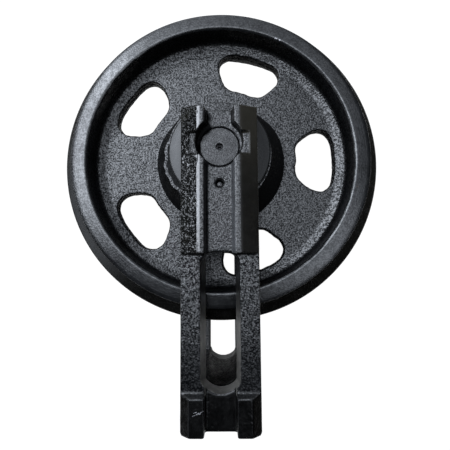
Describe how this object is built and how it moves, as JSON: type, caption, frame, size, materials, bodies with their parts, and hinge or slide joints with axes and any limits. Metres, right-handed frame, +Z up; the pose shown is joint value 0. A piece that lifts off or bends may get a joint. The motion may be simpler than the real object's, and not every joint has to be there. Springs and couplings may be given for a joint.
{
  "type": "track idler",
  "caption": "Front idler of a tracked undercarriage: flanged cast wheel with windows in its web, turning on an oil-filled axle held between two channelled yoke arms joined at the tail.",
  "frame": {"origin": "centre of the axle on the mid-plane of the wheel", "axes": "+Z up along the axle, the part lying on its side; -Y from the axle towards the tail of the yoke; +X across the arms"},
  "size_m": [0.411, 0.5158, 0.184],
  "materials": {
    "cast_black": "satin black paint over a rough casting, machined rim",
    "yoke_black": "gloss black paint over a rough casting",
    "collar_black": "satin black paint over a turned face",
    "axle_black": "satin black paint over a turned steel end",
    "weld_black": "black paint over weld beads",
    "plug_dark": "dark steel plug with a hexagon socket",
    "pin_steel": "ground steel with paint overspray",
    "seal_steel": "lapped hard steel",
    "bronze": "turned bronze",
    "rubber": "matt black nitrile"
  },
  "bodies": {
    "yoke": {"axle_shaft": "axle_black", "oil_plug": "plug_dark", "collar_near": "collar_black", "collar_far": "collar_black", "collar_seal_ring_near": "seal_steel", "collar_seal_ring_far": "seal_steel", "collar_toric_near": "rubber", "collar_toric_far": "rubber", "axle_o_ring_near": "rubber", "axle_o_ring_far": "rubber", "yoke_arm_near": "yoke_black", "yoke_arm_far": "yoke_black", "yoke_bridge": "yoke_black", "weld_beads_near": "weld_black", "weld_beads_far": "weld_black", "collar_dowel_near": "pin_steel", "collar_dowel_far": "pin_steel", "axle_lock_pin_near": "pin_steel", "axle_lock_pin_far": "pin_steel"},
    "wheel": {"idler_wheel": "cast_black", "bush_near": "bronze", "bush_far": "bronze", "wheel_seal_ring_near": "seal_steel", "wheel_seal_ring_far": "seal_steel", "wheel_toric_near": "rubber", "wheel_toric_far": "rubber"}
  },
  "joints": [
    {"name": "wheel_spin", "type": "hinge", "parent": "yoke", "child": "wheel", "pos_m": [0, 0, 0], "axis": [0, 0, 1], "continuous": true}
  ]
}
